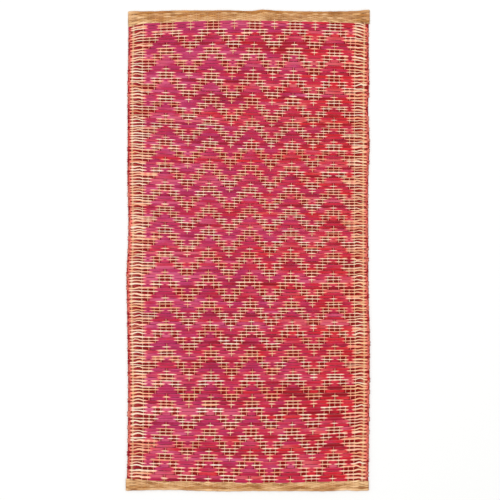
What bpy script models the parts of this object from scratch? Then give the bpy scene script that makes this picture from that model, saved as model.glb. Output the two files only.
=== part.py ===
"""A woven rush rug of about 70 by 140 cm, lying flat with its face up.

It is one cloth. Ribs of weft cross it from selvedge to selvedge, and a closer woven heading ends it
at both ends. X is its width, Y its length, Z is up. The origin is under its middle, on the ground.
"""
import bisect

import bmesh
import bpy

MM = 0.001

WIDTH = 700.0 * MM  # between the mean lines of the two selvedges
LENGTH = 1391.0 * MM  # between the mean lines of the two ends

RIB_TOP = 8.0 * MM  # height of a rib's crest above the ground
RIB_FOOT = 6.4 * MM  # height of the groove between two ribs
HEADING_TOP = 7.2 * MM
HEADING_FOOT = 6.4 * MM
SELVEDGE_TOP = 5.6 * MM  # where the face ends at the rounded rim
SELVEDGE_MIDDLE = 3.0 * MM  # where the rim stands out furthest
BORDER_TOP = 7.4 * MM  # a rib over the border's outer warp
FACE_INSET = 1.0 * MM  # from the rim's widest line in to the face
SOLE_INSET = 1.5 * MM  # from the rim's widest line in to the sole
SCALLOP = 0.8 * MM  # how far the rim draws in between two turns of weft

ROWS_IN_REPEAT = 8
FIRST_TIP = 645.0 * MM  # the second row, at the first row of zigzag tips
ROWS_BEFORE_TIP = 1
ROWS_AFTER_LAST_TIP = 6
FAR_ROW_PITCH = 8.4 * MM  # of the rows before the first tips
NEAR_ROW_PITCH = 10.0 * MM  # of the rows after the last ones
HEADING_RIBS = 3

# Length of cloth that each zigzag takes, from the far end to the near one: the beat is uneven.
REPEAT_LENGTHS_MM = (
    70.5, 71, 70.5, 65, 61.5, 66, 64.5, 61, 62, 65, 70, 74, 67, 73, 70, 76, 79, 75,
)

# How far the rows stand above an even beat within those lengths.
UNEVEN_BEAT = (
    # y_mm, rise_mm
    (700, 0.0),
    (655, -0.6),
    (612, 0.7),
    (574, 0.0),
    (240, 0.0),
    (205, 1.3),
    (176, 0.0),
    (115, 0.0),
    (84, 1.4),
    (53, 0.0),
    (-12, -0.5),
    (-38, 1.4),
    (-82, 0.5),
    (-118, -0.8),
    (-156, 0.7),
    (-223, 0.0),
    (-366, 0.0),
    (-403, 2.8),
    (-442, 0.0),
    (-484, -2.1),
    (-521, 0.0),
    (-610, 0.0),
    (-655, -1.5),
    (-700, -1.0),
)

# How the rows lie: their fall to the right for each 100 mm, and how far their middle bows up.
ROW_LIE = (
    # y_mm, fall_mm, bow_mm
    (655, 0.0, 5.0),
    (612, -0.1, 4.2),
    (574, 0.9, 3.6),
    (505, 2.1, 0.3),
    (433, 2.9, -0.7),
    (368, 2.7, -1.2),
    (303, 3.1, -1.9),
    (176, 2.5, -1.2),
    (52, 2.0, -1.8),
    (-12, 1.1, -0.1),
    (-100, 1.1, -0.1),
    (-156, 0.3, -0.7),
    (-224, 0.4, -0.6),
    (-297, -0.1, -1.1),
    (-366, -0.2, -1.9),
    (-443, -0.5, -2.6),
    (-524, -0.9, -3.9),
    (-600, 0.0, -3.7),
    (-655, 0.5, -3.7),
)
BOW_HALF_SPAN = 245.0 * MM  # the rows meet their straight line this far from the middle

# How far each selvedge strays to the right of its mean line.
SELVEDGE_STRAY = (
    # y_mm, left_mm, right_mm
    (691, 3.5, 0.6),
    (622, 1.7, -0.4),
    (552, 1.0, 0.0),
    (483, -0.3, 1.4),
    (413, -0.6, -2.3),
    (309, -0.3, 2.5),
    (205, -1.0, -1.7),
    (101, 1.9, -1.6),
    (31, 1.4, -1.4),
    (-73, -4.1, -1.2),
    (-177, -1.9, 0.6),
    (-246, -0.9, 2.9),
    (-385, 0.9, 2.3),
    (-489, 0.3, 0.9),
    (-594, -0.6, 0.1),
    (-690, -3.9, -2.4),
)

# How far each end strays up, away from the ground's near side.
END_STRAY = (
    # x_mm, far_end_mm, near_end_mm
    (-350, -1.4, 0.4),
    (-270, -1.4, 2.6),
    (-200, 1.0, 2.9),
    (-131, 0.6, 0.0),
    (-61, 1.7, -1.3),
    (8, -0.7, 0.0),
    (42, 3.8, 0.0),
    (78, 0.5, -0.3),
    (147, -1.5, 0.0),
    (216, -2.2, -1.1),
    (285, -1.8, 1.7),
    (320, -0.3, 0.0),
    (350, 3.2, 1.6),
)

# Lines along the rug where the ribs turn a little: the border warps and the zigzag's low tips.
BORDER_WARP = 333.0 * MM
FIELD_EDGE = 306.0 * MM
TIP_COLUMNS_MM = (-173, -50, 67, 188)


def between(table, place_mm, column):
    """The table's value in a column, straight between its rows."""
    rows = sorted(table)
    places = [row[0] for row in rows]
    if place_mm <= places[0]:
        return rows[0][column]
    if place_mm >= places[-1]:
        return rows[-1][column]
    after = bisect.bisect_right(places, place_mm)
    low, high = rows[after - 1], rows[after]
    share = (place_mm - low[0]) / (high[0] - low[0])
    return low[column] + share * (high[column] - low[column])


def row_middles():
    """Y of each row of weft at the rug's middle, from the far end to the near one."""
    tips = [FIRST_TIP]
    for length_mm in REPEAT_LENGTHS_MM:
        tips.append(tips[-1] - length_mm * MM)
    middles = [FIRST_TIP + FAR_ROW_PITCH * n for n in range(ROWS_BEFORE_TIP, 0, -1)]
    for upper, lower in zip(tips, tips[1:]):
        step = (upper - lower) / ROWS_IN_REPEAT
        middles += [upper - step * n for n in range(ROWS_IN_REPEAT)]
    middles += [tips[-1] - NEAR_ROW_PITCH * n for n in range(ROWS_AFTER_LAST_TIP + 1)]
    return [middle + between(UNEVEN_BEAT, middle / MM, 1) * MM for middle in middles]


def lie_of_row(middle, x):
    """Y at x of a row whose middle is given."""
    fall = between(ROW_LIE, middle / MM, 1) / 100
    bow = between(ROW_LIE, middle / MM, 2) * MM
    reach = min(abs(x) / BOW_HALF_SPAN, 1.3)
    return middle - fall * x + bow * (1 - reach**2)


def side_x(side, y):
    """X of the left (-1) or right (1) selvedge at y."""
    column = 1 if side < 0 else 2
    return side * WIDTH / 2 + between(SELVEDGE_STRAY, y / MM, column) * MM


def end_y(end, x):
    """Y of the far (1) or near (-1) end at x."""
    column = 1 if end > 0 else 2
    return end * LENGTH / 2 + between(END_STRAY, x / MM, column) * MM


def cross_lines():
    """The lines that cross the rug, as (y at x, height, scallop), far end first."""
    rows = row_middles()
    lines = []
    borders = {1: rows[0] + FAR_ROW_PITCH / 2, -1: rows[-1] - NEAR_ROW_PITCH / 2}

    def heading(end):
        steps = 2 * HEADING_RIBS
        for step in range(steps):
            share = step / steps
            height = HEADING_TOP if step % 2 else HEADING_FOOT

            def place(x, share=share):
                outer = end_y(end, x) - end * FACE_INSET
                return outer + share * (lie_of_row(borders[end], x) - outer)

            yield place, (SELVEDGE_TOP if step == 0 else height), 0.0

    def row(middle, height, scallop):
        return (lambda x: lie_of_row(middle, x)), height, scallop

    lines += heading(1)
    lines.append(row(borders[1], RIB_FOOT, SCALLOP))
    for middle, following in zip(rows, rows[1:]):
        lines.append(row(middle, RIB_TOP, 0.0))
        lines.append(row((middle + following) / 2, RIB_FOOT, SCALLOP))
    lines.append(row(rows[-1], RIB_TOP, 0.0))
    lines.append(row(borders[-1], RIB_FOOT, SCALLOP))
    lines += reversed(list(heading(-1)))
    return lines


def face_point(place, height, scallop, column, columns):
    """A point of the face on one cross line, in one of the lengthwise columns."""
    inner = [-BORDER_WARP, -FIELD_EDGE]
    inner += [tip * MM for tip in TIP_COLUMNS_MM]
    inner += [FIELD_EDGE, BORDER_WARP]
    if 0 < column < columns - 1:
        x = inner[column - 1]
        at_border = column in (1, columns - 2)
        return x, place(x), min(height, BORDER_TOP) if at_border else height
    side = -1 if column == 0 else 1
    y = place(side * WIDTH / 2)
    x = side_x(side, y) - side * (FACE_INSET + scallop)
    return x, y, SELVEDGE_TOP


def make_rug():
    lines = cross_lines()
    columns = len(TIP_COLUMNS_MM) + 6
    mesh = bmesh.new()
    grid = []
    for place, height, scallop in lines:
        points = [face_point(place, height, scallop, c, columns) for c in range(columns)]
        grid.append([mesh.verts.new(point) for point in points])
    for upper, lower in zip(grid, grid[1:]):
        for c in range(columns - 1):
            mesh.faces.new((lower[c], lower[c + 1], upper[c + 1], upper[c]))

    def ring_at(height, inset):
        """The face's rim, moved out to its widest line, then in by inset, at a height."""
        out = FACE_INSET - inset
        last = len(grid) - 1
        ring = []
        for n, line in enumerate(grid):
            kept = range(columns) if n in (0, last) else (0, columns - 1)
            y_out = {0: out, last: -out}.get(n, 0.0)
            moved = {}
            for c in kept:
                x_out = {0: -out, columns - 1: out}.get(c, 0.0)
                x, y, _ = line[c].co
                moved[c] = mesh.verts.new((x + x_out, y + y_out, height))
            ring.append(moved)
        return ring

    def wall(upper, lower):
        """Faces between two rings that have the same layout."""
        last = len(upper) - 1
        for n in range(last):
            for c in (0, columns - 1):
                mesh.faces.new((upper[n][c], upper[n + 1][c], lower[n + 1][c], lower[n][c]))
        for n in (0, last):
            for c in range(columns - 1):
                mesh.faces.new((upper[n][c], upper[n][c + 1], lower[n][c + 1], lower[n][c]))

    top = [dict(enumerate(line)) for line in grid]
    middle = ring_at(SELVEDGE_MIDDLE, 0.0)
    sole = ring_at(0.0, SOLE_INSET)
    wall(top, middle)
    wall(middle, sole)
    for upper, lower in zip(sole, sole[1:]):
        mesh.faces.new([*upper.values(), *reversed(lower.values())])

    bmesh.ops.recalc_face_normals(mesh, faces=mesh.faces)
    xs = [vert.co.x for vert in mesh.verts]
    ys = [vert.co.y for vert in mesh.verts]
    to_origin = (-(min(xs) + max(xs)) / 2, -(min(ys) + max(ys)) / 2, 0.0)
    bmesh.ops.translate(mesh, verts=mesh.verts, vec=to_origin)
    data = bpy.data.meshes.new("rush_rug")
    mesh.to_mesh(data)
    mesh.free()
    data.shade_smooth()
    data.set_sharp_from_angle(angle=0.9)
    rug = bpy.data.objects.new("rush_rug", data)
    bpy.context.collection.objects.link(rug)
    return rug


def dyed_rush():
    """Rush dyed pink, as the rug shows from some way off."""
    material = bpy.data.materials.new("dyed_rush")
    material.use_nodes = True
    shader = material.node_tree.nodes["Principled BSDF"]
    shader.inputs["Base Color"].default_value = (0.56, 0.09, 0.11, 1.0)
    shader.inputs["Roughness"].default_value = 0.7
    shader.inputs["Metallic"].default_value = 0.0
    return material


for old in list(bpy.data.objects):
    bpy.data.objects.remove(old)
rush_rug = make_rug()
rush_rug.data.materials.append(dyed_rush())
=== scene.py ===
# A woven rush rug lying flat, seen from straight above.
# Pale and dyed rush stems cross cotton warps and change places over and under them, which draws the zigzag.
# Sizes are in millimetres until a mesh is made: X is the rug's width, Y its length, Z is up.
from functools import partial
import bpy
import numpy as np
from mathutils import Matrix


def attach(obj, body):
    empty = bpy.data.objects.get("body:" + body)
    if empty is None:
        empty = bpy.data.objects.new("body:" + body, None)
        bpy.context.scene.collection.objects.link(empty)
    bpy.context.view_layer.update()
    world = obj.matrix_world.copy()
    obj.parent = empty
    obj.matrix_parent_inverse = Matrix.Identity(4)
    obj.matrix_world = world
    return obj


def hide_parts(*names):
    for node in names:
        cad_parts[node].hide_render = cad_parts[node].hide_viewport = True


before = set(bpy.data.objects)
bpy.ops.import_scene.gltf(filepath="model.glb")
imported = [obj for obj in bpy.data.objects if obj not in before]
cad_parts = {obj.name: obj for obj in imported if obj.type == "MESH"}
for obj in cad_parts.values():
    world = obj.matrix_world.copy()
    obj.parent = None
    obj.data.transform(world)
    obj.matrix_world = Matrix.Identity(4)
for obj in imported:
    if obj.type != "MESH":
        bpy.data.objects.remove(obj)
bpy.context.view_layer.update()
mm = 0.001

# How the cloth lies, as in the part

cloth = {
    "width": 700.0, "length": 1391.0,  # between the mean lines of the selvedges, and of the ends
    "middle": (0.56, -1.05),  # what brings the middle of its box to the origin
    "firstTip": 645.0,  # the row with the first zigzag tips
    "rowsBeforeTip": 1, "rowsAfterTips": 6, "rowsInRepeat": 8,
    "farPitch": 8.4, "nearPitch": 10.0,  # of the rows before the first tips, and after the last ones
    "pitch": 8.7,  # of the others, on average
    "bowHalfSpan": 245.0,  # the rows meet their straight line this far from the middle,
    "bowReach": 1.3,  # and go on bending to this share of it
    "seed": 7,
}

# Length of cloth in each zigzag, from the far end to the near one
repeatLengths = (70.5, 71, 70.5, 65, 61.5, 66, 64.5, 61, 62, 65, 70, 74, 67, 73, 70, 76, 79, 75)

rowLie = (
    # y, fall for each 100 mm to the right, bow of the middle
    (655, 0.0, 5.0), (612, -0.1, 4.2), (574, 0.9, 3.6), (505, 2.1, 0.3), (433, 2.9, -0.7),
    (368, 2.7, -1.2), (303, 3.1, -1.9), (176, 2.5, -1.2), (52, 2.0, -1.8), (-12, 1.1, -0.1),
    (-100, 1.1, -0.1), (-156, 0.3, -0.7), (-224, 0.4, -0.6), (-297, -0.1, -1.1), (-366, -0.2, -1.9),
    (-443, -0.5, -2.6), (-524, -0.9, -3.9), (-600, 0.0, -3.7), (-655, 0.5, -3.7),
)

# How far the rows stand above an even beat, where the weaver beat some harder
unevenBeat = (
    # y, rise
    (700, 0.0), (655, -0.6), (612, 0.7), (574, 0.0), (240, 0.0), (205, 1.3), (176, 0.0), (115, 0.0),
    (84, 1.4), (53, 0.0), (-12, -0.5), (-38, 1.4), (-82, 0.5), (-118, -0.8), (-156, 0.7), (-223, 0.0),
    (-366, 0.0), (-403, 2.8), (-442, 0.0), (-484, -2.1), (-521, 0.0), (-610, 0.0), (-655, -1.5),
    (-700, -1.0),
)

selvedgeStray = (
    # y, left side, right side, each to the right
    (691, 3.5, 0.6), (622, 1.7, -0.4), (552, 1.0, 0.0), (483, -0.3, 1.4), (413, -0.6, -2.3),
    (309, -0.3, 2.5), (205, -1.0, -1.7), (101, 1.9, -1.6), (31, 1.4, -1.4), (-73, -4.1, -1.2),
    (-177, -1.9, 0.6), (-246, -0.9, 2.9), (-385, 0.9, 2.3), (-489, 0.3, 0.9), (-594, -0.6, 0.1),
    (-690, -3.9, -2.4),
)

endStray = (
    # x, far end, near end, each upwards
    (-350, -1.4, 0.4), (-270, -1.4, 2.6), (-200, 1.0, 2.9), (-131, 0.6, 0.0), (-61, 1.7, -1.3),
    (8, -0.7, 0.0), (42, 3.8, 0.0), (78, 0.5, -0.3), (147, -1.5, 0.0), (216, -2.2, -1.1), (285, -1.8, 1.7),
    (320, -0.3, 0.0), (350, 3.2, 1.6),
)


# A table's column at a place, straight between its rows
def lookUp(table, place, column=1):
    rows = sorted(table)
    return np.interp(place, [row[0] for row in rows], [row[column] for row in rows])


# 0 up to a start, and 1 from so far past it
def ramp(value, start, length):
    return np.clip((value - start) / length, 0, 1)


# Y of each pale row at the middle of the rug, from the far end
def rowMiddles():
    tips = cloth["firstTip"] - np.cumsum((0, *repeatLengths))
    rows = [tips[0] + cloth["farPitch"] * n for n in range(cloth["rowsBeforeTip"], 0, -1)]
    for upper, lower in zip(tips, tips[1:]):
        rows += list(np.linspace(upper, lower, cloth["rowsInRepeat"], endpoint=False))
    rows = np.array(rows + [tips[-1] - cloth["nearPitch"] * n for n in range(cloth["rowsAfterTips"] + 1)])
    return rows + lookUp(unevenBeat, rows)


# A side is -1 for left and 1 for right, and an end is 1 for far and -1 for near.
def selvedgeX(side, y):
    return side * cloth["width"] / 2 + lookUp(selvedgeStray, y, 1 if side < 0 else 2)


def endY(end, x):
    return end * cloth["length"] / 2 + lookUp(endStray, x, 1 if end > 0 else 2)


chance = np.random.default_rng(cloth["seed"])
middles = rowMiddles()
rowCount = len(middles)

# The warps

warps = {
    "everyFourth": (-304, -238.6, -173.2, -109.8, -50.2, 9.7, 66.7, 127.5, 187.7, 248.2, 309.8),
    "borders": (-334.4, 333.7),
    "wide": 1.1, "borderWide": 2.8,  # half of a cord's width, in the field and in the borders
    "borderRubbed": 0.6, "borderWorn": 0.55,  # how pink and how brown the border warps are
    "high": 1.0, "tip": 0.6,  # half of its height, and how thin its ends are
    # height of its middle, how much dye has rubbed off on it, and how much wider it spreads there
    "overPick": (5.5, 1.15, 1.0), "underPick": (2.9, 1.15, 1.0),
    "underTip": (5.5, 0.4, 1.5),  # over the pick under a low tip
    "underRow": (3.2, 0.4, 1.0), "overRow": (5.1, 1.5, 1.0),
    "inHeading": (3.5, 0.3, 1.0), "headingShares": (0.12, 0.5, 0.88),  # where it has its points there
    # the warp inside each selvedge, which the stems turn round: z, half width, half height, rubbed
    "edge": (2.5, 2.0, 1.1, 3.0), "edgeInset": 3.4, "edgeWorn": 0.6,
    "wavers": (45, 0, 0.35),  # sideways, at every so many millimetres
    "ply": 7.0,  # length of one turn of its twist
    "strips": 3,
}

# How far the warps drift along the rug
warpDrift = (
    # y, to the right at the sides, and in the middle
    (640, 3.0, 10.0), (570, 1.2, 6.5), (488, -0.2, 3.2), (364, -0.3, 1.2), (266, -1.4, -1.7),
    (164, -2.0, -4.5), (43, -1.9, -5.3), (-79, -2.3, -6.1), (-160, -1.3, -2.9), (-200, 1.1, -0.9),
    (-300, 2.9, 2.3), (-443, 2.3, 1.2), (-565, -1.2, -3.4), (-655, -4.3, -6.9),
)

# How much further each border warp and the warp beside it drift
edgeDrift = (
    # y, left border warp, warp 0, warp 40, right border warp
    (547, -0.6, -2.5, -2.0, -0.2), (422, -0.1, -3.4, -2.2, 0.0), (298, 0.1, -0.4, -1.7, 0.6),
    (174, 1.8, 0.0, -0.4, 0.4), (49, 3.6, 1.0, -1.5, 0.9), (-75, -0.3, -1.6, -0.7, 1.5),
    (-200, -3.1, -3.4, -1.4, 0.2), (-324, -2.5, -5.2, -3.8, -1.4), (-449, -1.0, -1.8, -2.3, -0.6),
    (-573, 1.4, 0.5, -1.7, -0.2),
)

lastWarp = 4 * (len(warps["everyFourth"]) - 1)  # the field has warps 0 to 40,
warpNumbers = np.arange(-1, lastWarp + 2)  # and -1 and 41 are the border warps
warpPlaces = np.interp(warpNumbers[1:-1], np.arange(0, lastWarp + 1, 4), warps["everyFourth"])
warpPlaces = np.r_[warps["borders"][0], warpPlaces, warps["borders"][1]]
edgeWarps = (-1, 0, 2, lastWarp - 2, lastWarp, lastWarp + 1)  # edgeDrift ends at the third and fourth


def warpX(number, y):
    place = np.interp(number, warpNumbers, warpPlaces)
    inside = np.clip(1 - (place / cloth["bowHalfSpan"]) ** 2, 0, 1)
    sides, middle = lookUp(warpDrift, y), lookUp(warpDrift, y, 2)
    x = place + sides + (middle - sides) * inside
    for column, near in enumerate(np.eye(6)[[0, 1, 4, 5]], 1):
        x = x + np.interp(number, edgeWarps, near) * lookUp(edgeDrift, y, column)
    return x


# The rows and picks: a pale row, then a dyed pick, in turn from the far end to the near one

weave = {
    "stray": (0.55, 1.2),  # how far a row strays from its place, one time in three and at most
    "wave": 0.65,  # how far it swings along its length, in waves from so long to so long
    "waveLengths": (160, 420),
    "arch": (1.3, 1.2),  # how far a row rises between the border's two warps, and how much that varies
    "archLimits": (-1.0, 4.0),
    "sway": (0.8, 1.8),  # and how much it swings up and down again, one time in three and at most
    "lean": (1.1, 2.5),  # how much its end at the selvedge varies, likewise,
    "leanGrows": 1.3,  # and by how much that goes on past the border warp
    "cornerDroop": 5.5,  # how far it falls in the border beside the far heading
    "droopFrom": 500,
    "cornerOpens": 5.0,  # how far the first row leaves the far heading at the right corner
    "openingGrows": 1.2,
    "lastPickRise": 0.4,
    "roomLimits": (0.8, 1.35),
    # first of the four rows in eight with the pale stem on the face, for warps 0 to 4 steps from a low tip
    "paleFirst": (2, 0, -2, -4, -5), "pickFirst": (2, 0, -2, -4, -6),
    "rowShift": 4, "warpsInRepeat": 8,
}


def strays(sizes, count):
    usual, most = sizes
    return chance.normal(0, usual, count).clip(-most, most)


rowStrays = strays(weave["stray"], rowCount)
waveLengths = chance.uniform(*weave["waveLengths"], rowCount)
wavePhases = chance.uniform(0, 2 * np.pi, rowCount)
arches = chance.normal(*weave["arch"], (rowCount, 2)).clip(*weave["archLimits"])
sways = strays(weave["sway"], (rowCount, 2))
leans = strays(weave["lean"], (rowCount, 2))

# The border warps and the warps beside them, from end to end
edgeYs = np.arange(-720, 721, 20)
edgeXs = [warpX(number, edgeYs) for number in (-1, 0, lastWarp, lastWarp + 1)]


# 0 at the field's edge and 1 at the border warp, for each side, and below 0 in the field
def borderShare(x, y):
    farLeft, left, right, farRight = (np.interp(y, edgeYs, xs) for xs in edgeXs)
    return (left - x) / (left - farLeft), (x - right) / (farRight - right)


# 1 from a border warp to the selvedge, and 0 in the field
def inBorder(x, y):
    return np.clip(np.maximum(*borderShare(x, y)), 0, 1)


def shareAcross(path):
    return np.maximum(*borderShare(path[:, 0], path[:, 1]))


def rowY(row, x):
    middle = middles[row]
    fall, bow = lookUp(rowLie, middle) / 100, lookUp(rowLie, middle, 2)
    reach = np.minimum(np.abs(x) / cloth["bowHalfSpan"], cloth["bowReach"])
    y = middle - fall * x + bow * (1 - reach ** 2)
    y = y + rowStrays[row] + weave["wave"] * np.sin(2 * np.pi * x / waveLengths[row] + wavePhases[row])
    droop = weave["cornerDroop"] * ramp(middle, weave["droopFrom"], middles[0] - weave["droopFrom"])
    for share, arch, sway, lean in zip(borderShare(x, middle), arches[row], sways[row], leans[row]):
        turn = np.pi * np.clip(share, 0, 1)
        y = y + arch * np.sin(turn) + sway * np.sin(2 * turn)
        y = y + (lean - droop) * np.clip(share, 0, weave["leanGrows"])
    return y


def cornerOpening(x):
    return weave["cornerOpens"] * np.clip(borderShare(x, middles[0])[1], 0, weave["openingGrows"])


def pickY(pick, x):
    if pick < 0:
        return rowY(0, x) + (cloth["farPitch"] + cornerOpening(x)) / 2
    if pick >= rowCount - 1:
        return rowY(rowCount - 1, x) - cloth["nearPitch"] / 2 + weave["lastPickRise"]
    return (rowY(pick, x) + rowY(pick + 1, x)) / 2


# How much room a line has between its neighbours, as a share of the usual
def spread(lineY, number, first, last, x):
    upper, lower = max(number - 1, first), min(number + 1, last)
    pitch = (lineY(upper, x) - lineY(lower, x)) / (lower - upper)
    return np.clip(pitch / cloth["pitch"], *weave["roomLimits"])


def isTip(warp):
    return warp % weave["warpsInRepeat"] == 0


# Whether this row belongs to the pale figure at this warp: in the borders it always does
def isOn(strand, row, warp):
    if not 0 < warp < lastWarp:
        return True
    half = weave["warpsInRepeat"] // 2
    steps = abs((warp + half) % weave["warpsInRepeat"] - half)
    rows = cloth["rowsInRepeat"]
    return (row + weave["rowShift"] - weave[strand][steps]) % rows < rows / 2


# A piece is one mesh of many stems. A stem is a dictionary: path has x, y, z, half width, half height and
# rubbed, or how much dye has come off on it, strips is how many its map is cut into, offset is where its
# grain starts, and tone and shade are its hue and depth.


def roundSection(sides):
    angles = np.linspace(0, 2 * np.pi, sides, endpoint=False)
    return np.column_stack((np.cos(angles), np.sin(angles)))


rushSection = roundSection(8)
cordSection = roundSection(6)
# Two stems side by side
pickSection = np.array(((1, 0), (0.56, 1), (0, 0.45), (-0.56, 1), (-1, 0), (0, -1)))
stripFill = 0.84  # how much of its strip a stem's map fills, across


# One ring of points round a stem at each point of its path
def ringsOf(path, section):
    forward = np.gradient(path[:, :3], axis=0)
    forward /= np.linalg.norm(forward, axis=1)[:, None]
    across = np.cross((0, 0, 1), forward)
    across /= np.linalg.norm(across, axis=1)[:, None]
    upward = np.cross(forward, across)
    rings = (path[:, None, :3]
             + across[:, None] * (path[:, 3, None] * section[:, 0])[..., None]
             + upward[:, None] * (path[:, 4, None] * section[:, 1])[..., None])
    return rings.reshape(-1, 3)


def lengthsAlong(path):
    return np.r_[0, np.cumsum(np.linalg.norm(np.diff(path[:, :3], axis=0), axis=1))]


# The faces between the rings, and the two that close its ends
def facesOf(count, sides):
    n, s = np.meshgrid(np.arange(count - 1) * sides, np.arange(sides), indexing="ij")
    after = (s + 1) % sides
    quads = np.stack([n + s, n + after, n + sides + after, n + sides + s], -1).reshape(-1, 4)
    return quads, np.array([np.arange(sides)[::-1], (count - 1) * sides + np.arange(sides)])


# A face's corners in a map, from start to end along the stem and from low to high round it
def cornersInMap(start, end, low, high):
    start, end = (np.broadcast_to(edge[:, None], low.shape) for edge in (start, end))
    return np.stack([start, low, start, high, end, high, end, low], -1).reshape(-1, 2)


# The map for the bake, where each stem fills strips of its own
def stripMap(stem, run, sides, firstStrip, stripCount):
    part = run[-1] / stem["strips"]
    strip = np.clip(((run[1:] + run[:-1]) / 2 // part).astype(int), 0, stem["strips"] - 1)
    slack = np.diff(run).max() / part / 2
    start, end = ((edge / part - strip + slack) / (1 + 2 * slack) for edge in (run[:-1], run[1:]))
    around = (1 - stripFill) / 2 + stripFill * np.arange(sides) / sides
    low = (firstStrip + strip[:, None] + around) / stripCount
    return cornersInMap(start, end, low, low + stripFill / sides / stripCount)


# The map for the materials, in metres along the stem and shares of a turn round it
def lineMap(stem, run, sides):
    around = np.broadcast_to(np.arange(sides) / sides, (len(run) - 1, sides))
    corners = cornersInMap(run[:-1] * mm, run[1:] * mm, around, around + 1 / sides)
    corners[:, 0] += stem["offset"]
    return corners


def meshOfStems(name, stems, section):
    sides = len(section)
    parts = []
    stripCount = sum(stem["strips"] for stem in stems)
    firstStrip = firstPoint = 0
    for stem in stems:
        path = stem["path"]
        count = len(path)
        run = lengthsAlong(path)
        quads, caps = facesOf(count, sides)
        values = (np.repeat(np.broadcast_to(value, count), sides)
                  for value in (stem["tone"], stem["shade"], path[:, 5]))
        parts.append((ringsOf(path, section), firstPoint + quads, firstPoint + caps,
                      stripMap(stem, run, sides, firstStrip, stripCount),
                      lineMap(stem, run, sides), *values))
        firstStrip += stem["strips"]
        firstPoint += count * sides
    places, quads, caps, strips, lines, tone, shade, rubbed = map(np.concatenate, zip(*parts))
    return makeMesh(name, places, quads, caps, {"OFBake": strips, "stemLine": lines},
                    {"tone": tone, "shade": shade, "rubbed": rubbed})


def addObject(name, data):
    made = bpy.data.objects.new(name, data)
    bpy.context.scene.collection.objects.link(made)
    return made


def makeMesh(name, places, quads, caps, maps, values):
    places = (places + (*cloth["middle"], 0)) * mm
    mesh = bpy.data.meshes.new(name)
    mesh.vertices.add(len(places))
    mesh.vertices.foreach_set("co", places.astype(np.float32).ravel())
    corners = np.r_[quads.ravel(), caps.ravel()]
    mesh.loops.add(len(corners))
    mesh.loops.foreach_set("vertex_index", corners.astype(np.int32))
    sizes = np.r_[np.full(len(quads), 4), np.full(len(caps), caps.shape[1])]
    mesh.polygons.add(len(sizes))
    mesh.polygons.foreach_set("loop_start", (np.cumsum(sizes) - sizes).astype(np.int32))
    for mapName, spots in maps.items():
        capSpots = np.repeat(spots[-1:], caps.size, axis=0)
        layer = mesh.uv_layers.new(name=mapName, do_init=False)
        layer.uv.foreach_set("vector", np.concatenate((spots, capSpots)).astype(np.float32).ravel())
    for valueName, numbers in values.items():
        attribute = mesh.attributes.new(valueName, "FLOAT", "POINT")
        attribute.data.foreach_set("value", numbers.astype(np.float32))
    mesh.update(calc_edges=True)
    mesh.validate()
    mesh.shade_smooth()
    piece = addObject(name, mesh)
    triangles = 2 * len(quads) + (caps.shape[1] - 2) * len(caps)
    print(f"{name}: {triangles} triangles, {piece.dimensions[:]}")
    return piece


# A weft is a dictionary: raised says which warps it covers, line gives its y at x, and room how much wider
# than usual it lies there.


# A weft's stations, each by its warp number and how far the weft is raised there
def stationsOf(raised, stem):
    stations = []
    last = len(raised) - 1
    lone = [raised[max(n - 1, 0):n + 2] == [True, False, True] for n in range(last + 1)]
    low = [stem["close"] * (alone and isTip(warp)) for warp, alone in zip(warpNumbers, lone)]
    for n, (warp, up) in enumerate(zip(warpNumbers, raised)):
        same = 0 < n < last and raised[n - 1] == up == raised[n + 1]
        if not same or warp % 2 == 0 or (up and stem["sag"]):
            stations.append((warp, max(up, low[n])))
        if n < last and raised[n + 1] != up:
            under = max(low[n], low[n + 1])
            for share, level in stem["crossing"] if up else reversed(stem["crossing"]):
                stations.append((warp + (share if up else 1 - share), under + (1 - under) * level))
        elif warp in (-1, lastWarp):
            for share in (0.25, 0.5, 0.75):
                stations.append((warp + share, up * (1 - stem["sag"] * np.sin(np.pi * share))))
        elif n < last and up and stem["sag"]:
            stations.append((warp + 0.5, 1 - stem["sag"]))
    return np.array(stations)


# One weft from its left border warp to its right one
def weftRun(stem, weft):
    number, level = stationsOf(weft["raised"], stem).T
    x = warpX(number, float(weft["line"](0.0)))
    y = weft["line"](x)
    z = stem["sunk"] + (stem["raised"] - stem["sunk"]) * level + stem["borderRise"] * inBorder(x, y)
    high = stem["sunkHigh"] + (stem["high"] - stem["sunkHigh"]) * level
    wide, rubbed = (lookUp(stem["atLevel"], level, column) for column in (1, 2))
    return np.stack([x, y, z, wide * weft["room"](x), high, rubbed], -1)


# A run's points past its border warp, to the start of a turn or to a tucked tip
def pastWarp(stem, weft, run, side, turns):
    edge = selvedgeX(side, run[0 if side < 0 else -1, 1])
    points = np.array(stem["toTurn"] if turns else stem["toTip"])
    wide = points[:, 2] * weft["room"](edge - side * points[:, 0])
    x = edge - side * (points[:, 0] + (wide if turns else 0))
    return np.column_stack([x, weft["line"](x), points[:, 1], wide, points[:, 3:]])


# A half turn in the cloth's plane from one run's end to the next one's
def turned(start, end, side, stem):
    angles = np.linspace(0, np.pi, stem["turnSteps"] + 2)[1:-1, None]
    share = (1 - np.cos(angles)) / 2
    points = start + (end - start) * share
    points[:, :1] += side * stem["turnReach"] * np.sin(angles) ** 0.4
    points[:, 2:3] += stem["turnRise"] * np.sin(angles)
    points[:, 3:4] *= 1 + stem["turnCorner"] * np.sin(2 * angles) ** 2
    return points


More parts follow.
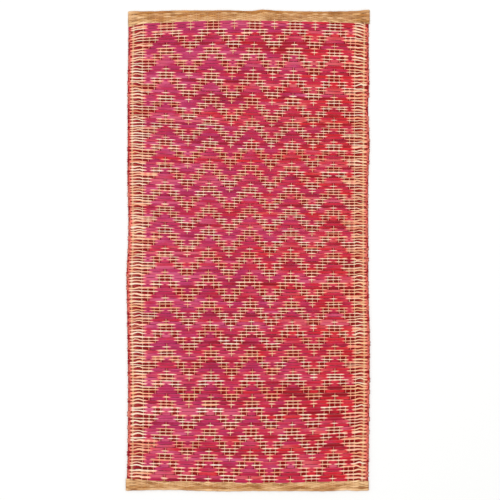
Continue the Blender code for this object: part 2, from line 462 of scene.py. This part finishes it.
# One or two wefts as a stem that turns at one side and is tucked in at the other
def stemOfWefts(stem, wefts, turnSide):
    runs = [weftRun(stem, weft) for weft in wefts]
    if len(wefts) == 1:
        left, right = (pastWarp(stem, wefts[0], runs[0], side, False) for side in (-1, 1))
        return np.concatenate([left[::-1], runs[0], right])
    parts = []
    for weft, run in zip(wefts, runs):
        toTip = pastWarp(stem, weft, run, -turnSide, False)
        toTurn = pastWarp(stem, weft, run, turnSide, True)
        parts.append(np.concatenate([toTip[::-1], run if turnSide > 0 else run[::-1], toTurn]))
    turn = turned(parts[0][-1], parts[1][-1], turnSide, stem)
    return np.concatenate([parts[0], turn, parts[1][::-1]])


# Values that drift along a stem, drawn anew at every so many millimetres
def drifting(path, every, mean, spread):
    run = lengthsAlong(path)
    knots = np.arange(0, run[-1] + every, every)
    return np.interp(run, knots, chance.normal(mean, spread, len(knots)))


# How every stem's girth and line wander
wander = {"girthEvery": 90, "kinkEvery": 22, "highShare": 0.5, "floorGap": 0.05}


# Makes a stem uneven, thick at its root and thin at its tip, and keeps it off the floor
def unevenly(path, stem):
    girth = drifting(path, wander["girthEvery"], 1, stem["uneven"])
    girth *= np.linspace(1 + stem["taper"], 1 - stem["taper"], len(path))
    path[:, 3] *= girth
    path[:, 4] *= 1 + (girth - 1) * wander["highShare"]
    path[:, 1] += drifting(path, wander["kinkEvery"], 0, stem["kink"])
    path[:, 2] += chance.normal(0, stem["lift"], len(path))
    path[:, 2] = np.maximum(path[:, 2], path[:, 4] + wander["floorGap"])
    return path


# Pale rush: the thin stems

paleStem = {
    "raised": 6.45, "sunk": 1.5, "high": 1.4, "sunkHigh": 1.3,
    "crossing": ((0.45, 0.96), (0.82, 0.62), (0.97, 0.1)),  # from the last warp that it covers
    "sag": 0.08,  # between two that it covers
    "close": 0,
    # at each level: half width, rubbed
    "atLevel": ((0.0, 1.5, 2.4), (0.1, 1.2, 2.4), (0.55, 0.85, 2.2), (0.8, 1.05, 1.8), (0.93, 1.3, 1.2),
                (0.96, 1.35, 1.0), (1.0, 1.54, 0.3)),
    # inward from the selvedge (where it turns, to its outer side), z, half width, half height, rubbed
    "toTurn": ((10.4, 5.9, 1.7, 1.4, 1.0), (7.8, 5.4, 1.6, 1.3, 2.2), (5.4, 4.4, 1.4, 1.1, 4.5)),
    "toTip": ((12.0, 5.9, 1.7, 1.4, 1.0), (9.2, 5.4, 1.6, 1.3, 2.2), (6.8, 4.2, 1.3, 1.1, 4.5),
              (6.0, 2.9, 0.7, 0.8, 6.0)),
    "turnReach": 1.0, "turnRise": -0.8, "turnSteps": 3, "turnCorner": 0.0, "borderRise": 0.0,
    "uneven": 0.13, "taper": 0.1, "kink": 0.25, "lift": 0.1,
    "tan": (0.2, 0.28), "tanDrift": (110, 0, 0.28),  # how tan a stem is, and how that drifts along it
    "tanner": ((-350, -0.1), (-300, 0.0), (250, 0.05), (350, 0.6)),  # how much more it is so from x to x
    "pale": (160, 0.47, 0.27),
    # how much wider it lies, from the field's edge to the border warp, and how much that varies by row
    "borderWider": ((-0.4, 1.0), (0.0, 1.2), (0.5, 1.2), (1.0, 1.4)),
    "borderVaries": 0.25, "borderLimits": (0.5, 1.5),
    "leftFuller": ((190, 1.0), (140, 1.15), (40, 1.3), (0, 1.0), (-250, 1.0), (-380, 1.12), (-480, 1.0)),
    # and how much less dye and more tan it has there
    "borderCleaner": ((0.0, 0.0), (0.4, 0.75), (0.7, 0.75), (1.0, 0.3), (1.3, 0.0)),
    "borderTanner": ((0.0, 0.0), (0.5, -0.2), (0.85, 0.2), (1.1, 0.4)),
}

# Where a stem ends, the next one is laid in beside it, and both show for a few warps.
paleJoin = {
    "share": 0.06, "borderShare": 0.22,  # of the rows that have one, in the field and in a border
    "fieldStarts": (1, 36), "borderStarts": (-1, 37),
    "warpsLong": (4, 9), "inset": 4,
    "aside": 2.6, "lower": 0.2, "thinner": 0.75, "tip": 0.35,
    "tan": (90, 0.7, 0.3), "pale": (90, 0.45, 0.2), "rubbed": 0.3,
}


# In the borders the rows lie wider
def paleRoom(row, wider, x):
    share = spread(rowY, row, 0, rowCount - 1, x)
    places = borderShare(x, middles[row])
    for place, more in zip(places, wider):
        share = share * (1 + (lookUp(paleStem["borderWider"], place) - 1) * more)
    fuller = lookUp(paleStem["leftFuller"], middles[row])
    return share * (1 + (fuller - 1) * np.clip(2 * places[0], 0, 1))


def paleWeft(row):
    wider = chance.normal(1, paleStem["borderVaries"], 2).clip(*paleStem["borderLimits"])
    return {"raised": [isOn("paleFirst", row, warp) for warp in warpNumbers],
            "line": partial(rowY, row), "room": partial(paleRoom, row, wider)}


# In the borders they have taken less of the dye
def cleaned(path):
    path[:, 5] *= 1 - lookUp(paleStem["borderCleaner"], shareAcross(path))
    return path


def paleStems(turnSide):
    stems = []
    for pair in range(0 if turnSide > 0 else 1, rowCount // 2, 2):
        wefts = [paleWeft(row) for row in (2 * pair, 2 * pair + 1)]
        path = unevenly(cleaned(stemOfWefts(paleStem, wefts, turnSide)), paleStem)
        tone = chance.normal(*paleStem["tan"]) + drifting(path, *paleStem["tanDrift"])
        tone += lookUp(paleStem["tanner"], path[:, 0])
        tone += lookUp(paleStem["borderTanner"], shareAcross(path))
        stems.append({"path": path, "strips": 2, "offset": pair * 1.7,
                      "tone": tone, "shade": drifting(path, *paleStem["pale"])})
    return stems


# A short stem in the opening by the far heading's right corner
cornerStem = (
    # share of the border, how far above the row, z, half width, half height, rubbed
    (-0.25, 7.8, 3.4, 0.7, 0.8, 1.0), (-0.1, 7.6, 4.6, 1.3, 1.2, 0.5), (0.1, 7.3, 5.9, 1.6, 1.4, 0.3),
    (0.35, 7.2, 6.3, 1.6, 1.4, 0.2), (0.6, 6.9, 6.3, 1.7, 1.4, 0.2), (0.85, 6.5, 6.1, 1.7, 1.4, 0.5),
    (1.0, 6.2, 5.4, 1.6, 1.3, 1.2), (1.12, 6.0, 4.0, 1.2, 1.1, 4.0), (1.2, 5.9, 2.4, 0.7, 0.8, 7.0),
)


def cornerStems():
    share, above, *rest = np.array(cornerStem).T
    left, right = (float(warpX(warp, middles[0])) for warp in (lastWarp, lastWarp + 1))
    x = left + share * (right - left)
    path = np.column_stack([x, rowY(0, x) + above, *rest])
    return [{"path": path, "strips": 1, "offset": 0.4, "tone": 0.35, "shade": 0.4}]


def paleJoins(side):
    stems = []
    for row in range(rowCount):
        starts = []
        if chance.random() < paleJoin["share"]:
            starts.append(chance.integers(*paleJoin["fieldStarts"]))
        for first in paleJoin["borderStarts"]:
            if chance.random() < paleJoin["borderShare"]:
                starts.append(first)
        for first in starts:
            last = min(first + chance.integers(*paleJoin["warpsLong"]), lastWarp + 1)
            run = cleaned(weftRun(paleStem, paleWeft(row)))
            left, right = (warpX(warp, middles[row]) for warp in (first, last))
            inside = np.minimum(run[:, 0] - left, right - run[:, 0])
            path = run[inside > paleJoin["inset"]]
            if len(path) < 4:
                continue
            ease = np.sin(np.linspace(0, np.pi, len(path))) ** 0.4
            path[:, 1] += side * paleJoin["aside"] * (0.5 + 0.5 * ease)
            path[:, 2] -= paleJoin["lower"]
            path[:, 3] *= paleJoin["thinner"] * (paleJoin["tip"] + (1 - paleJoin["tip"]) * ease)
            path[:, 5] += paleJoin["rubbed"]
            path = unevenly(path, paleStem)
            stems.append({"path": path, "strips": 1, "offset": row * 0.9 + first,
                          "tone": drifting(path, *paleJoin["tan"]),
                          "shade": drifting(path, *paleJoin["pale"])})
            side = -side
    return stems


# Dyed rush: two flat stems side by side in each pick

dyedStem = {
    "raised": 6.0, "sunk": 1.65, "high": 1.3, "sunkHigh": 1.55,
    "crossing": ((0.5, 0.9), (0.9, 0.18)),
    "sag": 0,
    "close": 0.25,  # how raised it stays under the lone warp of a low tip
    "atLevel": ((0.0, 4.2, 0.0), (0.3, 4.0, 0.0), (0.95, 4.4, 0.0), (1.0, 4.4, 0.0)),
    "toTurn": ((7.4, 2.6, 4.2, 1.5, 1.3), (4.4, 3.2, 4.3, 1.6, 1.6), (2.2, 3.5, 4.3, 1.7, 1.8)),
    "toTip": ((11.6, 2.6, 4.2, 1.5, 1.3), (8.0, 3.3, 4.3, 1.6, 1.6), (3.4, 3.3, 4.8, 1.7, 1.8),
              (1.5, 2.9, 4.8, 1.4, 1.8)),
    "turnReach": 0.7, "turnRise": 0.2, "turnSteps": 5, "turnCorner": 0.55,
    "borderRise": 1.9, "borderRubbed": 1.4,
    "leftWorn": ((600, 0.45), (300, 0.6), (160, 1.0), (0, 1.05), (-200, 0.85), (-600, 0.8)),
    "uneven": 0.06, "taper": 0.0, "kink": 0.25, "lift": 0.12,
    "redder": 0.1, "redDrift": (130, 0, 0.18),  # how far one stem's dye is from the next one's, and drifts
    "pale": (150, 0.5, 0.27),
    "faded": ((-300, 0.18), (-100, 0.0), (350, 0.0)),  # how much paler it is from x to x
    # at the selvedges, every so many mm, how much more worn, and how much that varies
    "mottle": (4.5, -0.15, 1.1), "mottleLimits": (-1.2, 1.3), "mottleFrom": (329, 14),
    "wornLimits": (0.1, 2.2),
}

# The dye is magenta left of the middle and red by the right side and at both selvedges: how red it is, and
# how much more past a share of the way to a side
dyeRed = {
    "middle": 0.36, "across": 0.34, "right": (0.35, 0.35), "left": (0.25, 0.6), "near": (0.15, 0.1),
    "borders": 0.7, "sideX": 350, "endY": 700,
}


def reddening(x, y):
    right, far = x / dyeRed["sideX"], y / dyeRed["endY"]
    red = dyeRed["middle"] + dyeRed["across"] * right
    for name, place in (("right", right), ("left", -right), ("near", -far)):
        more, start = dyeRed[name]
        red += more * ramp(place, start, 1)
    return red + dyeRed["borders"] * inBorder(x, y)


def dyedWeft(pick):
    return {"raised": [not isOn("pickFirst", max(pick, 0), warp) for warp in warpNumbers],
            "line": partial(pickY, pick), "room": partial(spread, pickY, pick, -1, rowCount - 1)}


def dyedStems():
    stems = []
    picks = range(-1, rowCount)
    for first in range(0, len(picks), 2):
        wefts = [dyedWeft(pick) for pick in picks[first:first + 2]]
        path = stemOfWefts(dyedStem, wefts, 1 if first // 2 % 2 else -1)
        x, y = path[:, 0], path[:, 1]
        path[:, 5] = np.maximum(path[:, 5], dyedStem["borderRubbed"] * inBorder(x, y))
        mottle = drifting(path, *dyedStem["mottle"]).clip(*dyedStem["mottleLimits"])
        mottle *= ramp(np.abs(x), *dyedStem["mottleFrom"])
        path[:, 5] *= np.clip(1 + mottle, *dyedStem["wornLimits"])
        path[:, 5] *= np.where(x < 0, lookUp(dyedStem["leftWorn"], y), 1)
        path = unevenly(path, dyedStem)
        tone = reddening(x, y) + chance.normal(0, dyedStem["redder"]) + drifting(path, *dyedStem["redDrift"])
        shade = drifting(path, *dyedStem["pale"]) + mottle + lookUp(dyedStem["faded"], x)
        stems.append({"path": path, "strips": len(wefts), "offset": first * 1.3,
                      "tone": tone, "shade": shade})
    return stems


# Headings: a cream stem beside the field, thin tan stems that hide the warps, and a thick one along the end

heading = {
    "farStems": 6, "nearStems": 5,
    "paleWide": 4.2, "outerWide": 6.2,  # the cream stem, and the one along the end
    "farGap": 6.9, "nearGap": 7.8,  # from the outermost row's middle to the heading
    # its middle's height, and the share of its strip that it fills, each sunk and raised, and half height
    "pale": (1.7, 5.3, 0.95, 1.1, 1.5),
    "thin": (1.7, 5.3, 0.95, 1.75, 1.5),
    "outer": (2.6, 4.4, 0.95, 1.1, 1.875),
    "flatter": (0.5, 1.15),  # how far it rises among the field's warps and in the borders
    "insets": (0, 3.5, 8.0), "endLevels": (0.3, 0.4, 0.45), "tip": 0.75,  # its points by each selvedge
    "beyond": 1.0, "short": 0.8,  # past the selvedge's own line, and of the line of the rug's end
    "middle": 680,  # its y, about
    # how tan each is, the thin ones beside the field and at the end, and how much paler at left and right
    "paleTan": 0.15, "farOuterTan": 0.95, "nearOuterTan": 0.6,
    "farTan": (0.53, 0.88), "nearTan": (0.38, 0.8), "farPaler": (0.3, 0.1), "nearPaler": (0.0, 0.35),
    "palerFrom": (290, 50),
    "tanEvery": 26, "tanVaries": 0.2, "depth": (24, 0.5, 0.25),
    "wave": 0.8,  # how far the cream stem swings between two warps
    "uneven": 0.05, "taper": 0.0, "kink": 0.12, "lift": 0.06, "strips": 6,
}


# Y across a heading, at place 0 beside the field and 1 at the rug's end
def headingLine(end, place, x):
    row = 0 if end > 0 else rowCount - 1
    inner = rowY(row, x) + end * heading["farGap" if end > 0 else "nearGap"]
    if end > 0:
        inner = inner + cornerOpening(x)
    return inner + place * (endY(end, x) - end * heading["short"] - inner)


# Middle and half width of each of its stems, as shares of the heading
def headingPlaces(end):
    depth = abs(float(endY(end, 0.0) - headingLine(end, 0, 0.0)))
    pale, outer = heading["paleWide"] / depth, heading["outerWide"] / depth
    count = heading["farStems" if end > 0 else "nearStems"]
    each = (1 - pale - outer) / count
    thin = [(pale + each * (n + 0.5), each / 2) for n in range(count)]
    return [(pale / 2, pale / 2), *thin, (1 - outer / 2, outer / 2)]


def headingStem(end, number, place, half, kind):
    bottom, top, least, most, thick = heading[kind]
    y = end * heading["middle"]
    steps = np.arange(-1, lastWarp + 1.01, 0.25)
    level = np.clip(0.5 + 0.6 * np.cos(np.pi * (steps + number)), 0, 1)
    inField = np.clip(np.minimum(steps, lastWarp - steps) + 1, 0, 1)
    fieldRise, borderRise = heading["flatter"]
    level = 0.5 + (level - 0.5) * (borderRise + (fieldRise - borderRise) * inField)
    left, right = (selvedgeX(side, y) for side in (-1, 1))
    insets = np.array(heading["insets"]) - heading["beyond"]
    x = np.r_[left + insets, warpX(steps, y), (right - insets)[::-1]]
    level = np.r_[heading["endLevels"], level, heading["endLevels"][::-1]]
    tip = np.ones(len(x))
    tip[[0, -1]] = heading["tip"]
    depth = np.abs(headingLine(end, 1, x) - headingLine(end, 0, x))
    wide = depth * half * (least + (most - least) * level) * tip
    path = np.column_stack([x, headingLine(end, place, x), bottom + (top - bottom) * level, wide,
                            thick * tip, np.full(len(x), 0.5)])
    if kind == "pale":
        path[:, 1] += end * heading["wave"] * (level - 0.5) * 2
    return unevenly(path, heading)


def headingStems(end):
    stems = []
    name = "far" if end > 0 else "near"
    places = headingPlaces(end)
    for number, (place, half) in enumerate(places):
        kind = "pale" if number == 0 else "outer" if number == len(places) - 1 else "thin"
        path = headingStem(end, number, place, half, kind)
        thin = np.interp(place, (0, 1), heading[name + "Tan"])
        tan = {"pale": heading["paleTan"], "thin": thin, "outer": heading[name + "OuterTan"]}[kind]
        corner = np.interp(path[:, 0], (-1, 1), heading[name + "Paler"])
        corner = corner * ramp(np.abs(path[:, 0]), *heading["palerFrom"])
        tone = drifting(path, heading["tanEvery"], tan, heading["tanVaries"]) - corner
        stems.append({"path": path, "strips": heading["strips"], "offset": 3.1 * number + end,
                      "tone": tone, "shade": drifting(path, *heading["depth"])})
    return stems


# Cotton warps


def warpPath(warp):
    x = warpX(warp, middles)
    points = []
    for row in range(rowCount):
        state = "underRow" if isOn("paleFirst", row, warp) else "overRow"
        points.append((x[row], float(rowY(row, x[row])), *warps[state]))
    for pick in range(-1, rowCount):
        place = x[min(max(pick, 0), rowCount - 1)]
        state = "overPick" if isOn("pickFirst", max(pick, 0), warp) else "underPick"
        if state == "overPick" and isTip(warp) and not isOn("pickFirst", pick + 1, warp):
            state = "underTip"
        points.append((place, float(pickY(pick, place)), *warps[state]))
    for end in (1, -1):
        place = float(warpX(warp, end * heading["middle"]))
        for share in warps["headingShares"]:
            points.append((place, float(headingLine(end, share, place)), *warps["inHeading"]))
    return np.array(sorted(points, key=lambda point: -point[1]))


def warpStems():
    stems = []
    for side in (-1, 1):
        x = selvedgeX(side, middles) - side * warps["edgeInset"]
        path = np.column_stack([x, middles, np.full((rowCount, 4), warps["edge"])])
        stems.append({"path": path, "offset": 0.0, "tone": warps["edgeWorn"]})
    for warp in warpNumbers:
        path = warpPath(warp)
        path[:, 0] += drifting(path, *warps["wavers"])
        inField = 0 <= warp <= lastWarp
        wide = path[:, 4] * warps["wide" if inField else "borderWide"]
        high = np.full(len(path), warps["high"])
        for girth in (wide, high):
            girth[[0, -1]] *= warps["tip"]
        rubbed = path[:, 3] * (1.0 if inField else warps["borderRubbed"])
        stems.append({"path": np.column_stack([path[:, :3], wide, high, rubbed]),
                      "offset": 2.3 * float(warp), "tone": 0.0 if inField else warps["borderWorn"]})
    return [{**stem, "strips": warps["strips"], "shade": 0.0} for stem in stems]


dyed = meshOfStems("dyed_picks", dyedStems(), pickSection)
rightTurned = meshOfStems("natural_rows_right_turned", paleStems(1) + paleJoins(1) + cornerStems(),
                           rushSection)
leftTurned = meshOfStems("natural_rows_left_turned", paleStems(-1) + paleJoins(-1), rushSection)
cords = meshOfStems("warp_cords", warpStems(), cordSection)
headings = meshOfStems("end_headings", headingStems(1) + headingStems(-1), rushSection)
print("weave: made")

# Materials


# An sRGB hex colour as linear red, green, blue and alpha
def linear(hexText):
    parts = [int(hexText[n:n + 2], 16) / 255 for n in (0, 2, 4)]
    return tuple(p / 12.92 if p <= 0.04045 else ((p + 0.055) / 1.055) ** 2.4 for p in parts) + (1.0,)


# Inputs are values, sockets, or nodes, whose first output is then meant
def addNode(tree, kind, inputs=None, **settings):
    made = tree.nodes.new("ShaderNode" + kind)
    for name, value in settings.items():
        setattr(made, name, value)
    for name, value in (inputs or {}).items():
        if isinstance(value, bpy.types.Node):
            value = value.outputs[0]
        if isinstance(value, bpy.types.NodeSocket):
            tree.links.new(value, made.inputs[name])
        else:
            made.inputs[name].default_value = value
    return made


def newMaterial(name):
    material = bpy.data.materials.new(name)
    material.use_nodes = True
    material.node_tree.nodes.clear()
    return material


# Bulrush stems, cut, dried and pressed flat by weaving: a dry satin skin with fine ribs along the stem,
# and no even colour from one stem to the next.
dyedRush = {
    "first": "b92d61", "second": "da1e2c",  # magenta and crimson, the two ends of the dye bath
    "paleFirst": "e0668e", "paleSecond": "e4706c",  # the same where a stem took less of it,
    "deep": "880418",  # and where it took more; also the colour of the painted shade in its groove and along its edges
    "edgePale": 0.6,  # how pale it is where it has worn at its sides,
    "grooveShade": 0.6, "edgeShade": 0.6,  # and painted shade: how dark it is painted in the groove between its two stems and along its edges
    "stain": "de846e", "stainMost": 0.85,  # what lies on it: at the selvedges, dust and wear
    "shadow": "8e0802",  # painted shade: the colour a pick is painted where it lies low in the gaps
    "shadowAt": (3.1, 5.6), "shadowMost": 0.95,  # heights where that is full and where it starts
    "girth": 20.0, "leaves": 5.0,  # how many leaves lie round the strand
    # how much these change it, and how much clouds of colour over the cloth do
    "leafDepth": 0.9, "cloudDepth": 0.9, "cloudHue": 1.1,
    "streakLong": 45.0, "streakWide": 1.3,
    "ribs": 14, "ribDepth": 0.12,
    "roughness": 0.62, "shine": 0.12,
}
# The same rush undyed: cream to tan and waxy. In the field its neighbours' dye has rubbed off on it.
naturalRush = {
    "first": "ffe9cc", "second": "ffc38e", "paleFirst": "fffcf0", "paleSecond": "fee0b2",
    "deep": "e89466", "stain": "ff827a", "stainMost": 0.95,
    # painted shade: its sides and the parts that dive are painted darker and redder the lower they lie
    "shadow": "dc4c32", "shadowAt": (3.8, 6.7), "shadowMost": 0.85,
    "girth": 11.0, "leaves": 1.0,
    "leafDepth": 1.3, "cloudDepth": 0.2, "cloudHue": 0.7,
    "streakLong": 60.0, "streakWide": 1.2, "ribs": 9, "ribDepth": 0.1,
    "roughness": 0.5, "shine": 0.35,
}
# Thin tan rush for the ends, older and duller.
headingRush = {
    "first": "fad09a", "second": "ae7230", "paleFirst": "ffe2ba", "paleSecond": "dca25c",
    "deep": "925a22", "stain": "e89a7a", "stainMost": 0.5,
    # painted shade: where a stem dips among the warps it is painted darker
    "shadow": "86501c", "shadowAt": (2.6, 5.2), "shadowMost": 0.45,
    "girth": 12.0, "leaves": 1.5,
    "leafDepth": 1.3, "cloudDepth": 0.3, "cloudHue": 0.7,
    "streakLong": 30.0, "streakWide": 1.4, "ribs": 14, "ribDepth": 0.12,
    "roughness": 0.66, "shine": 0.25,
}
# What all three share: lengths of a leaf and a mark along the stem, and scales of the patches and clouds
grain = {"leafLong": 110.0, "markLong": 7.0, "markWide": 2.5, "patches": 26.0, "clouds": 17.0}


def rushMaterial(name, look):
    material = newMaterial(name)
    tree = material.node_tree
    line = addNode(tree, "UVMap", uv_map="stemLine").outputs["UV"]
    place = addNode(tree, "TexCoord").outputs["Object"]
    tone, shade, rubbed = (addNode(tree, "Attribute", attribute_name=value).outputs["Fac"]
                           for value in ("tone", "shade", "rubbed"))

    # noise along the stem: fine streaks, whole leaves and small marks, then over the cloth
    girth = look["girth"]
    noises = []
    for long, across, detail in ((look["streakLong"], girth / look["streakWide"], 3.0),
                                 (grain["leafLong"], look["leaves"], 1.0),
                                 (grain["markLong"], girth / grain["markWide"], 2.0)):
        spot = addNode(tree, "VectorMath", {0: line, 1: (1 / (long * mm), across, 1)}, operation="MULTIPLY")
        noises.append(addNode(tree, "TexNoise", {"Vector": spot, "Scale": 1.0, "Detail": detail}))
    for scale in (grain["patches"], grain["clouds"]):
        noises.append(addNode(tree, "TexNoise", {"Vector": place, "Scale": scale, "Detail": 2.0}))
    streaks, leaves, marks, patches, clouds = noises

    # hue: from the stem, its leaf and its place in the cloth. Depth: from these, marks and streaks.
    hue, depth = tone, shade
    for source, share in ((patches, look["cloudHue"]), (leaves, 0.8)):
        more = addNode(tree, "Math", {0: source, 1: share, 2: -share / 2}, operation="MULTIPLY_ADD")
        hue = addNode(tree, "Math", {0: hue, 1: more}, operation="ADD", use_clamp=True)
    for source, share, least in ((leaves, look["leafDepth"], 0.65), (clouds, look["cloudDepth"], 0.0),
                                 (marks, 0.5, 0.25), (streaks, 0.7, 0.35)):
        more = addNode(tree, "Math", {0: source, 1: share, 2: least - share / 2}, operation="MULTIPLY_ADD")
        depth = addNode(tree, "Math", {0: depth, 1: more}, operation="ADD")
    patchy = addNode(tree, "MapRange", {0: patches, 1: 0.3, 2: 0.7, 3: 0.5, 4: 1.5})
    stain = addNode(tree, "Math", {0: rubbed, 1: patchy}, operation="MULTIPLY")

    # the two dyes, each full and pale
    hues = []
    for ends in (("first", "second"), ("paleFirst", "paleSecond")):
        first, second = (linear(look[end]) for end in ends)
        hues.append(addNode(tree, "Mix", {"Factor": hue, 6: first, 7: second}, data_type="RGBA").outputs[2])
    around = addNode(tree, "SeparateXYZ", {0: line}).outputs["Y"]
    fromMiddle = addNode(tree, "Math", {0: around, 1: 1 / 3}, operation="SUBTRACT")
    fromMiddle = addNode(tree, "Math", {0: fromMiddle}, operation="ABSOLUTE")
    groove = addNode(tree, "Math", {0: streaks, 1: 0.3, 2: fromMiddle}, operation="MULTIPLY_ADD")
    height = addNode(tree, "SeparateXYZ", {0: place}).outputs["Z"]

    # over the full dye: a value, where it starts and is full, how much there, and of which colour
    low, high = (z * mm for z in look["shadowAt"])
    deep, pale = linear(look["deep"]), hues[1]
    layers = (
        (depth, 1.8, 1.15, 0.9, deep),
        (depth, 1.75, 2.35, 0.75, pale),
        (fromMiddle, 0.17, 0.26, look.get("edgePale", 0.0), pale),
        # painted shade along its edges, where the picks meet, and in the groove between its two stems
        (fromMiddle, 0.25, 0.33, look.get("edgeShade", 0.0), deep),
        (groove, 0.22, 0.12, look.get("grooveShade", 0.0), deep),
        (marks, 0.66, 0.78, 0.5, deep),
        (stain, 0.0, 2.2, look["stainMost"], linear(look["stain"])),
        # painted shade: below these heights the colour is mixed toward the shadow colour, more the lower the
        # surface lies
        (height, high, low, look["shadowMost"], linear(look["shadow"])),
    )
    colour = hues[0]
    for source, start, full, most, over in layers:
        share = addNode(tree, "MapRange", {0: source, 1: start, 2: full, 4: most},
                        interpolation_type="SMOOTHSTEP")
        colour = addNode(tree, "Mix", {"Factor": share, 6: colour, 7: over}, data_type="RGBA").outputs[2]

    ribTurn = addNode(tree, "Math", {0: around, 1: 2 * np.pi * look["ribs"]}, operation="MULTIPLY")
    ribs = addNode(tree, "Math", {0: ribTurn}, operation="SINE")
    relief = addNode(tree, "Math", {0: ribs, 1: 0.3, 2: streaks}, operation="MULTIPLY_ADD")
    bump = addNode(tree, "Bump", {"Height": relief, "Distance": look["ribDepth"] * mm, "Strength": 0.8})
    smoother, rougher = look["roughness"] - 0.1, look["roughness"] + 0.1
    rough = addNode(tree, "MapRange", {0: streaks, 1: 0.2, 2: 0.8, 3: smoother, 4: rougher})
    shader = addNode(tree, "BsdfPrincipled", {"Base Color": colour, "Roughness": rough, "IOR": 1.45,
                                              "Specular IOR Level": look["shine"], "Normal": bump})
    addNode(tree, "OutputMaterial", {"Surface": shader})
    return material


# Two-ply cotton cord, unbleached: soft and matt, with a slanting twist.
cottonCord = {
    "cream": "f6dab0", "shade": "d4a478", "stain": "ea7e74", "worn": "ae7a4c",
    "roughness": 0.85, "plyDepth": 0.25,
    "fluff": 900.0, "patches": 60.0,  # scales of its nap, and of the stain over the cloth
}


def cottonMaterial():
    look = cottonCord
    material = newMaterial("unbleached_cotton_cord")
    tree = material.node_tree
    line = addNode(tree, "UVMap", uv_map="stemLine").outputs["UV"]
    place = addNode(tree, "TexCoord").outputs["Object"]
    apart = addNode(tree, "SeparateXYZ", {0: line})
    along = addNode(tree, "Math", {0: apart.outputs["X"], 1: 1 / (warps["ply"] * mm)}, operation="MULTIPLY")
    turn = addNode(tree, "Math", {0: along, 1: apart.outputs["Y"]}, operation="ADD")
    angle = addNode(tree, "Math", {0: turn, 1: 4 * np.pi}, operation="MULTIPLY")
    ply = addNode(tree, "Math", {0: angle}, operation="SINE")
    fluff = addNode(tree, "TexNoise", {"Vector": place, "Scale": look["fluff"], "Detail": 2.0})
    patches = addNode(tree, "TexNoise", {"Vector": place, "Scale": look["patches"]})
    # painted shade: the cord is painted darker in the grooves of its twist
    dark = addNode(tree, "MapRange", {0: ply, 1: 0.2, 2: -1.0, 4: 0.5})
    rubbed = addNode(tree, "Attribute", attribute_name="rubbed").outputs["Fac"]
    spots = addNode(tree, "MapRange", {0: patches, 1: 0.35, 2: 0.65, 3: 0.4, 4: 1.15})
    worn = addNode(tree, "Attribute", attribute_name="tone").outputs["Fac"]
    stained = addNode(tree, "Math", {0: spots, 1: rubbed}, operation="MULTIPLY")
    colour = linear(look["cream"])
    for share, over in ((dark, "shade"), (stained, "stain"), (worn, "worn")):
        colour = addNode(tree, "Mix", {"Factor": share, 6: colour, 7: linear(look[over])},
                         data_type="RGBA").outputs[2]
    relief = addNode(tree, "Math", {0: fluff, 1: 0.6, 2: ply}, operation="MULTIPLY_ADD")
    bump = addNode(tree, "Bump", {"Height": relief, "Distance": look["plyDepth"] * mm, "Strength": 0.7})
    shader = addNode(tree, "BsdfPrincipled", {"Base Color": colour, "Roughness": look["roughness"],
                                              "Normal": bump, "Specular IOR Level": 0.2})
    addNode(tree, "OutputMaterial", {"Surface": shader})
    return material


paleRush = rushMaterial("undyed_dried_rush", naturalRush)
finishes = (
    (dyed, rushMaterial("dyed_dried_rush", dyedRush), "dyed_rush"),
    (rightTurned, paleRush, "natural_rush"),
    (leftTurned, paleRush, "natural_rush"),
    (cords, cottonMaterial(), "cotton_warp"),
    (headings, rushMaterial("heading_rush_plain_weave", headingRush), "heading_rush"),
)
print("materials: made")

for piece, material, slotName in finishes:
    piece.data.materials.append(material)
    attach(piece, "root")
    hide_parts("rush_rug")

# Studio: a pale floor, soft light and a long lens straight above the rug

studio = {
    "floor": "f7f7f6", "floorSize": 8.0, "floorDrop": 0.0002,
    "frameWide": 1.447,  # what the picture takes in across, on the rug
    "centre": (0.0056, 0.0014),
    "lens": 100.0, "sensor": 36.0, "sees": 50, "rugMiddle": 0.003,
    "key": 109.0, "keySize": 2.6, "keyPlace": (-0.8, 1.2, 5.2), "sky": 0.78,
}


def makeStudio():
    scene = bpy.context.scene
    scene.view_settings.view_transform = "Standard"
    half = studio["floorSize"] / 2
    mesh = bpy.data.meshes.new("floor")
    corners = [(-half, -half, 0), (half, -half, 0), (half, half, 0), (-half, half, 0)]
    mesh.from_pydata(corners, [], [(0, 1, 2, 3)])
    floor = addObject("floor", mesh)
    floor.location.z = -studio["floorDrop"]
    paper = newMaterial("matt_paper_floor")
    shader = addNode(paper.node_tree, "BsdfPrincipled",
                     {"Base Color": linear(studio["floor"]), "Roughness": 0.9, "Specular IOR Level": 0.1})
    addNode(paper.node_tree, "OutputMaterial", {"Surface": shader})
    mesh.materials.append(paper)

    world = bpy.data.worlds.new("soft_sky")
    world.use_nodes = True
    background = world.node_tree.nodes["Background"]
    background.inputs["Color"].default_value = (1, 1, 1, 1)
    background.inputs["Strength"].default_value = studio["sky"]
    scene.world = world

    light = bpy.data.lights.new("key_panel", "AREA")
    light.energy = studio["key"]
    light.size = studio["keySize"]
    key = addObject("key_panel", light)
    key.location = studio["keyPlace"]
    key.rotation_euler = (-key.location).to_track_quat("-Z", "Y").to_euler()

    lens = bpy.data.cameras.new("overhead_camera")
    lens.lens = studio["lens"]
    lens.sensor_width = studio["sensor"]
    lens.clip_end = studio["sees"]
    camera = addObject("overhead_camera", lens)
    above = studio["frameWide"] * studio["lens"] / studio["sensor"]
    camera.location = (*studio["centre"], above + studio["rugMiddle"])
    scene.camera = camera


makeStudio()
print("studio: made")
